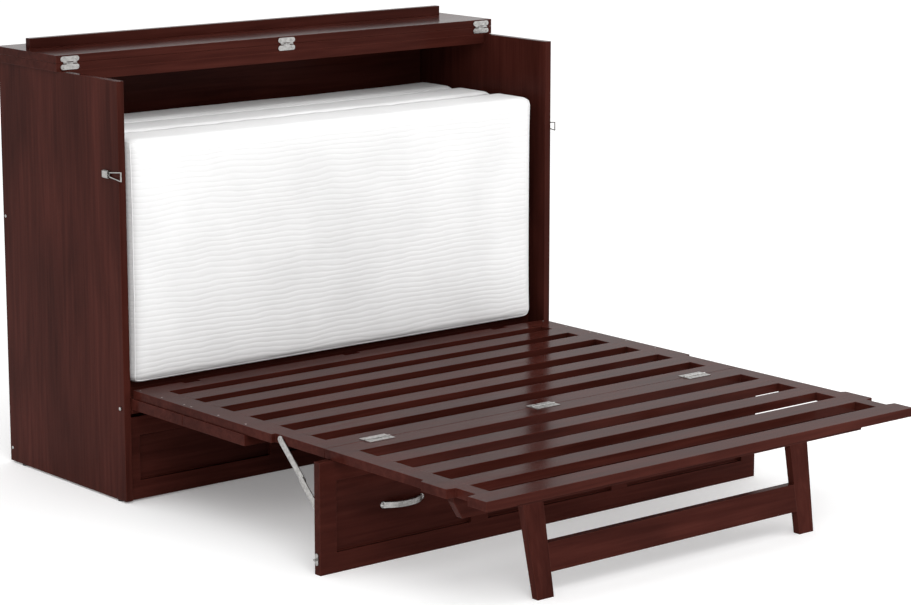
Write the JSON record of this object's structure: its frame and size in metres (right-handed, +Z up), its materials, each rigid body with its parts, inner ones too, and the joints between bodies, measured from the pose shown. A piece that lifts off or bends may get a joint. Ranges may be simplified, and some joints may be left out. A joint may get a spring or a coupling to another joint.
{
  "type": "cabinet bed",
  "caption": "Chest-style wall bed with a folding slatted deck, drop front that props it, folding leg frame, hinged lid and a tri-fold mattress stored on edge.",
  "frame": {"origin": "on the floor under the middle of the open bed", "axes": "+X to the right seen from the foot end, -Y towards the foot end, +Z up"},
  "size_m": [1.4682, 1.975, 1.1623],
  "materials": {
    "lacquered_wood": "dark semi-gloss lacquer",
    "slat_wood": "dark semi-gloss lacquer",
    "nickel": "satin nickel",
    "glide": "matte",
    "ticking": "quilted knit"
  },
  "bodies": {
    "cabinet": {"side_panel_left": "lacquered_wood", "side_panel_right": "lacquered_wood", "foot_glides": "glide", "back_panel": "lacquered_wood", "base_front": "lacquered_wood", "platform_board": "lacquered_wood", "platform_rail": "lacquered_wood", "fixed_top": "lacquered_wood", "top_apron": "lacquered_wood", "pivot_bolt_left": "nickel", "pivot_bolt_right": "nickel", "top_hinge_fixed": "nickel", "latch_base_left": "nickel", "latch_base_right": "nickel"},
    "lid": {"lid_board": "lacquered_wood", "lid_cleat": "lacquered_wood", "top_hinge_lid": "nickel"},
    "deck_near": {"deck_a_frame": "lacquered_wood", "deck_a_slat_1": "slat_wood", "deck_a_slat_2": "slat_wood", "deck_a_slat_3": "slat_wood", "deck_a_slat_4": "slat_wood", "deck_a_slat_5": "slat_wood", "door_lower": "lacquered_wood", "door_upper": "lacquered_wood", "panel_hinge_arms": "nickel", "deck_hinge_a_left": "nickel", "deck_hinge_a_middle": "nickel", "deck_hinge_a_right": "nickel"},
    "deck_far": {"deck_b_frame": "lacquered_wood", "deck_b_slat_1": "slat_wood", "deck_b_slat_2": "slat_wood", "deck_b_slat_3": "slat_wood", "foot_batten": "lacquered_wood", "deck_hinge_b_left": "nickel", "deck_hinge_b_middle": "nickel", "deck_hinge_b_right": "nickel"},
    "leg_frame": {"leg_left": "lacquered_wood", "leg_right": "lacquered_wood", "leg_stretcher": "lacquered_wood", "leg_top_rail": "lacquered_wood"},
    "drop_front": {"drop_panel": "lacquered_wood", "pull_left": "nickel", "pull_middle": "nickel", "pull_right": "nickel", "strike_left": "nickel", "strike_right": "nickel", "panel_hinge_lugs": "nickel"},
    "stay_upper_left": {"stay_upper_left": "nickel"},
    "stay_lower_left": {"stay_lower_left": "nickel"},
    "lever_left": {"latch_lever_left": "nickel"},
    "bail_left": {"latch_bail_left": "nickel"},
    "stay_upper_right": {"stay_upper_right": "nickel"},
    "stay_lower_right": {"stay_lower_right": "nickel"},
    "lever_right": {"latch_lever_right": "nickel"},
    "bail_right": {"latch_bail_right": "nickel"},
    "mattress_front": {"mattress_front": "ticking"},
    "mattress_middle": {"mattress_middle": "ticking"},
    "mattress_rear": {"mattress_rear": "ticking"}
  },
  "joints": [
    {"name": "deck_lift", "type": "hinge", "parent": "cabinet", "child": "deck_near", "pos_m": [0, 0.4335, 0.25], "axis": [-1, 0, 0], "range_deg": [0, 90]},
    {"name": "deck_fold", "type": "hinge", "parent": "deck_near", "child": "deck_far", "pos_m": [0, -0.3815, 0.3002], "axis": [-1, 0, 0], "range_deg": [0, 180]},
    {"name": "leg_fold", "type": "hinge", "parent": "deck_far", "child": "leg_frame", "pos_m": [0, -0.8159, 0.2755], "axis": [1, 0, 0], "range_deg": [0, 100.2]},
    {"name": "panel_drop", "type": "hinge", "parent": "deck_near", "child": "drop_front", "pos_m": [0, -0.3792, 0.2457], "axis": [1, 0, 0], "range_deg": [0, 90]},
    {"name": "lid_fold", "type": "hinge", "parent": "cabinet", "child": "lid", "pos_m": [0, 0.685, 1.1159], "axis": [1, 0, 0], "range_deg": [0, 180]},
    {"name": "stay_upper_left", "type": "hinge", "parent": "deck_near", "child": "stay_upper_left", "pos_m": [-0.68845, -0.2095, 0.287], "axis": [-1, 0, 0], "range_deg": [0, 66.61]},
    {"name": "stay_lower_left", "type": "hinge", "parent": "drop_front", "child": "stay_lower_left", "pos_m": [-0.69215, -0.3815, 0.128], "axis": [-1, 0, 0], "range_deg": [0, 9.81]},
    {"name": "latch_lever_left", "type": "hinge", "parent": "cabinet", "child": "lever_left", "pos_m": [-0.73285, 0.4815, 0.855], "axis": [0, 0, 1], "range_deg": [-120, 0]},
    {"name": "latch_bail_left", "type": "hinge", "parent": "lever_left", "child": "bail_left", "pos_m": [-0.7289, 0.4557, 0.855], "axis": [0, 0, 1], "range_deg": [-25, 0]},
    {"name": "stay_upper_right", "type": "hinge", "parent": "deck_near", "child": "stay_upper_right", "pos_m": [0.68845, -0.2095, 0.287], "axis": [-1, 0, 0], "range_deg": [0, 66.61]},
    {"name": "stay_lower_right", "type": "hinge", "parent": "drop_front", "child": "stay_lower_right", "pos_m": [0.69215, -0.3815, 0.128], "axis": [-1, 0, 0], "range_deg": [0, 9.81]},
    {"name": "latch_lever_right", "type": "hinge", "parent": "cabinet", "child": "lever_right", "pos_m": [0.73285, 0.4815, 0.855], "axis": [0, 0, -1], "range_deg": [-120, 0]},
    {"name": "latch_bail_right", "type": "hinge", "parent": "lever_right", "child": "bail_right", "pos_m": [0.7289, 0.4557, 0.855], "axis": [0, 0, -1], "range_deg": [-25, 0]},
    {"name": "mattress_slide_front", "type": "slide", "parent": "cabinet", "child": "mattress_front", "axis": [0, 1, 0], "range_m": [0, 0.094]},
    {"name": "mattress_slide_middle", "type": "slide", "parent": "cabinet", "child": "mattress_middle", "axis": [0, 1, 0], "range_m": [0, 0.0715]},
    {"name": "mattress_slide_rear", "type": "slide", "parent": "cabinet", "child": "mattress_rear", "axis": [0, 1, 0], "range_m": [0, 0.049]}
  ],
  "couplings": [
    {"joint": "leg_fold", "follows": "deck_fold", "ratio": 0.55667},
    {"joint": "panel_drop", "follows": "deck_lift", "ratio": 1},
    {"joint": "stay_upper_left", "follows": "deck_lift", "ratio": 0.74008},
    {"joint": "stay_lower_left", "follows": "deck_lift", "ratio": 0.10896},
    {"joint": "stay_upper_right", "follows": "deck_lift", "ratio": 0.74008},
    {"joint": "stay_lower_right", "follows": "deck_lift", "ratio": 0.10896},
    {"joint": "mattress_slide_front", "follows": "deck_lift", "m_per_rad": 0.059841},
    {"joint": "mattress_slide_middle", "follows": "deck_lift", "m_per_rad": 0.045517},
    {"joint": "mattress_slide_rear", "follows": "deck_lift", "m_per_rad": 0.031193}
  ]
}
